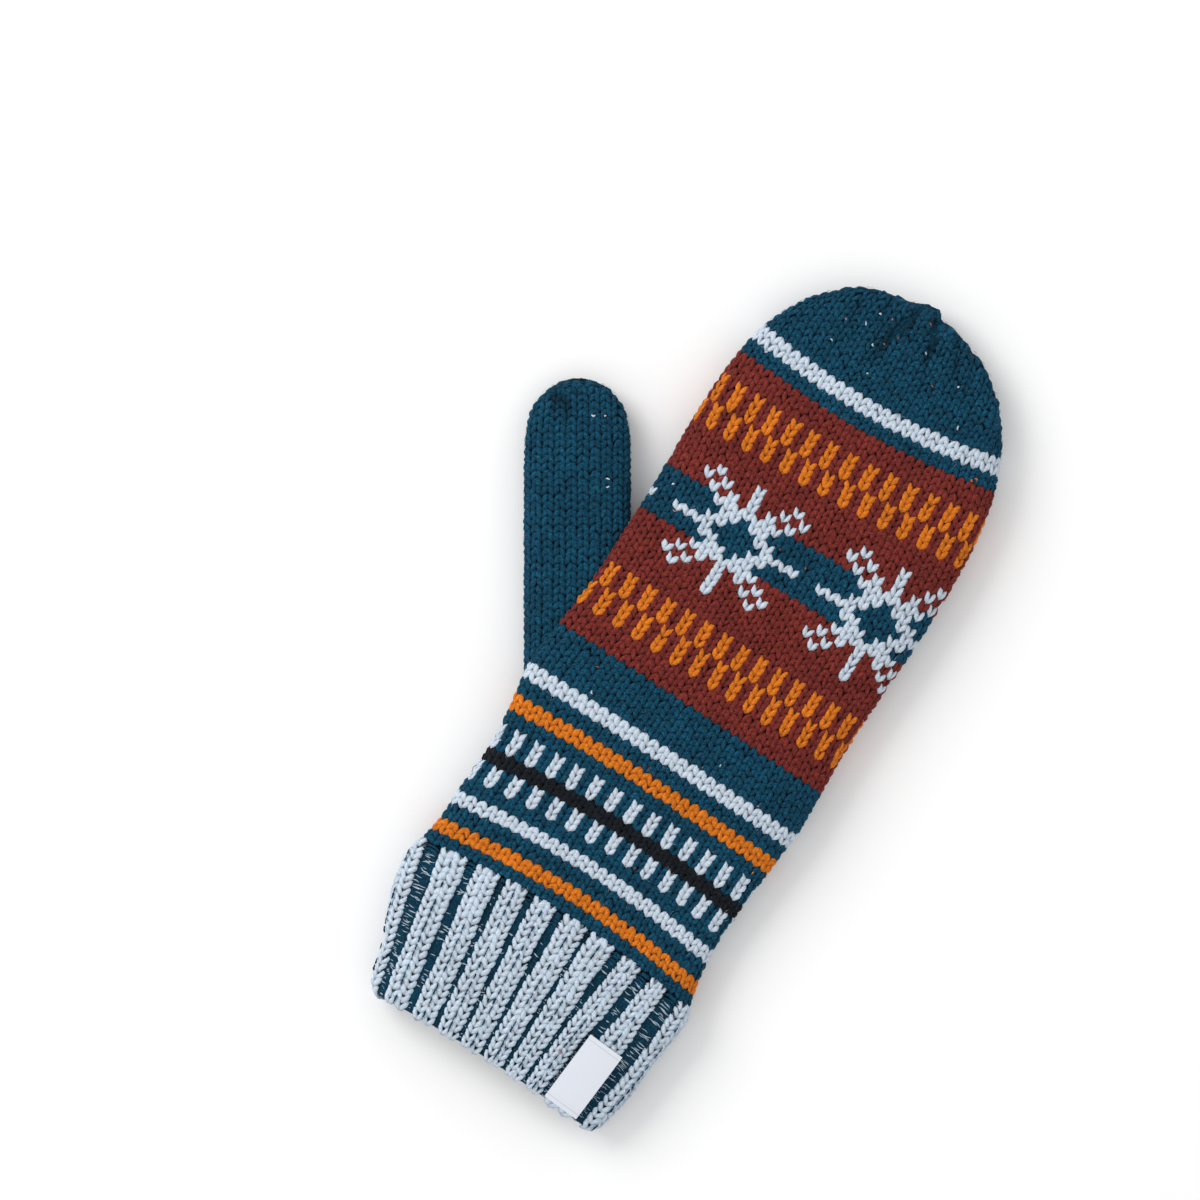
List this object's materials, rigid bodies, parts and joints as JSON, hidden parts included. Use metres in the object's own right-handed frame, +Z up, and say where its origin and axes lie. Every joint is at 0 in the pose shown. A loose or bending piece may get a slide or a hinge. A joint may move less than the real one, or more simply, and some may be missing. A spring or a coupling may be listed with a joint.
{
  "type": "knitted mitten",
  "caption": "Knitted mitten for the right hand: a hollow hand with a gathered crown, a slanted thumb, a ribbed cuff and a bare woven tag, lying palm down.",
  "frame": {"origin": "on the resting surface below the middle of the mitten's bounding box", "axes": "+Y from the wrist to the fingertips, +X to the right as the back of the hand is seen from above, +Z up from the resting palm"},
  "size_m": [0.1451, 0.2824, 0.021],
  "materials": {
    "hand_wool": "teal stocking-stitch knit with maroon, orange, ice-white and black patterned bands",
    "thumb_wool": "plain teal stocking-stitch knit with sparse pale flecks",
    "cuff_wool": "ice-blue two-stitch ribs over dark teal grooves",
    "tag_cloth": "close off-white ribbon weave, bare"
  },
  "bodies": {
    "root": {"hand": "hand_wool", "thumb": "thumb_wool", "cuff": "cuff_wool", "tag": "tag_cloth"}
  },
  "joints": []
}
